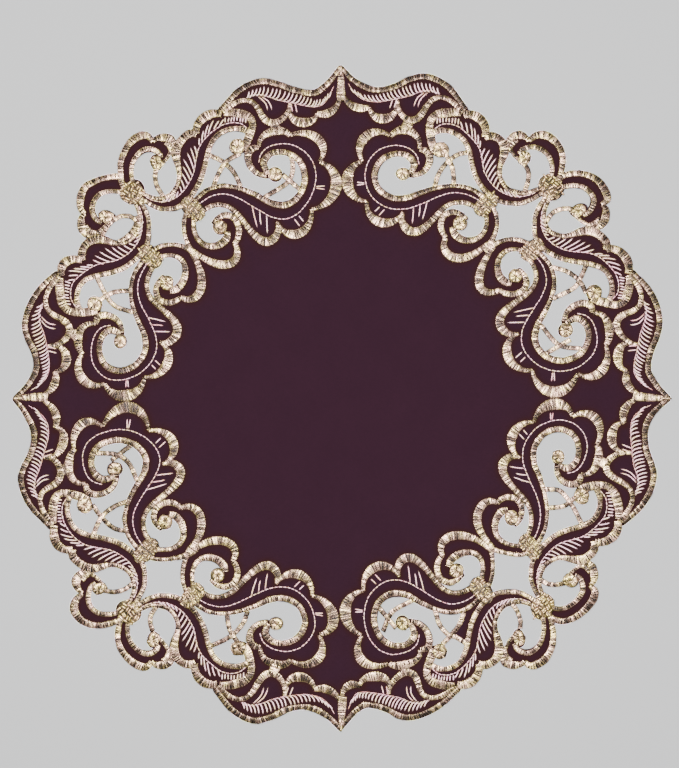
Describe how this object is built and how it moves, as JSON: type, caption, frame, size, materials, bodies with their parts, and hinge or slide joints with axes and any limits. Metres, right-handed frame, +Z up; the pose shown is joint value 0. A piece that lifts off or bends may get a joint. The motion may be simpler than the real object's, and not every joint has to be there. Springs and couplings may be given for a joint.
{
  "type": "round cutwork lace doily",
  "caption": "Round flat doily of dark plum cloth with a scalloped cutwork border of gold satin-stitched scrolls; it lies flat on a table.",
  "frame": {"origin": "centre of the cloth's underside, where it rests on the table", "axes": "+Z up through the cloth, +Y from the centre towards the top cusp of the border, +X to the right, in the plane of the cloth"},
  "size_m": [0.4, 0.4044, 0.0015],
  "materials": {
    "cloth": "dark plum matte plain weave polyester",
    "thread": "champagne gold lustrous embroidery thread"
  },
  "bodies": {
    "root": {"doily_cloth": "cloth"}
  },
  "joints": []
}
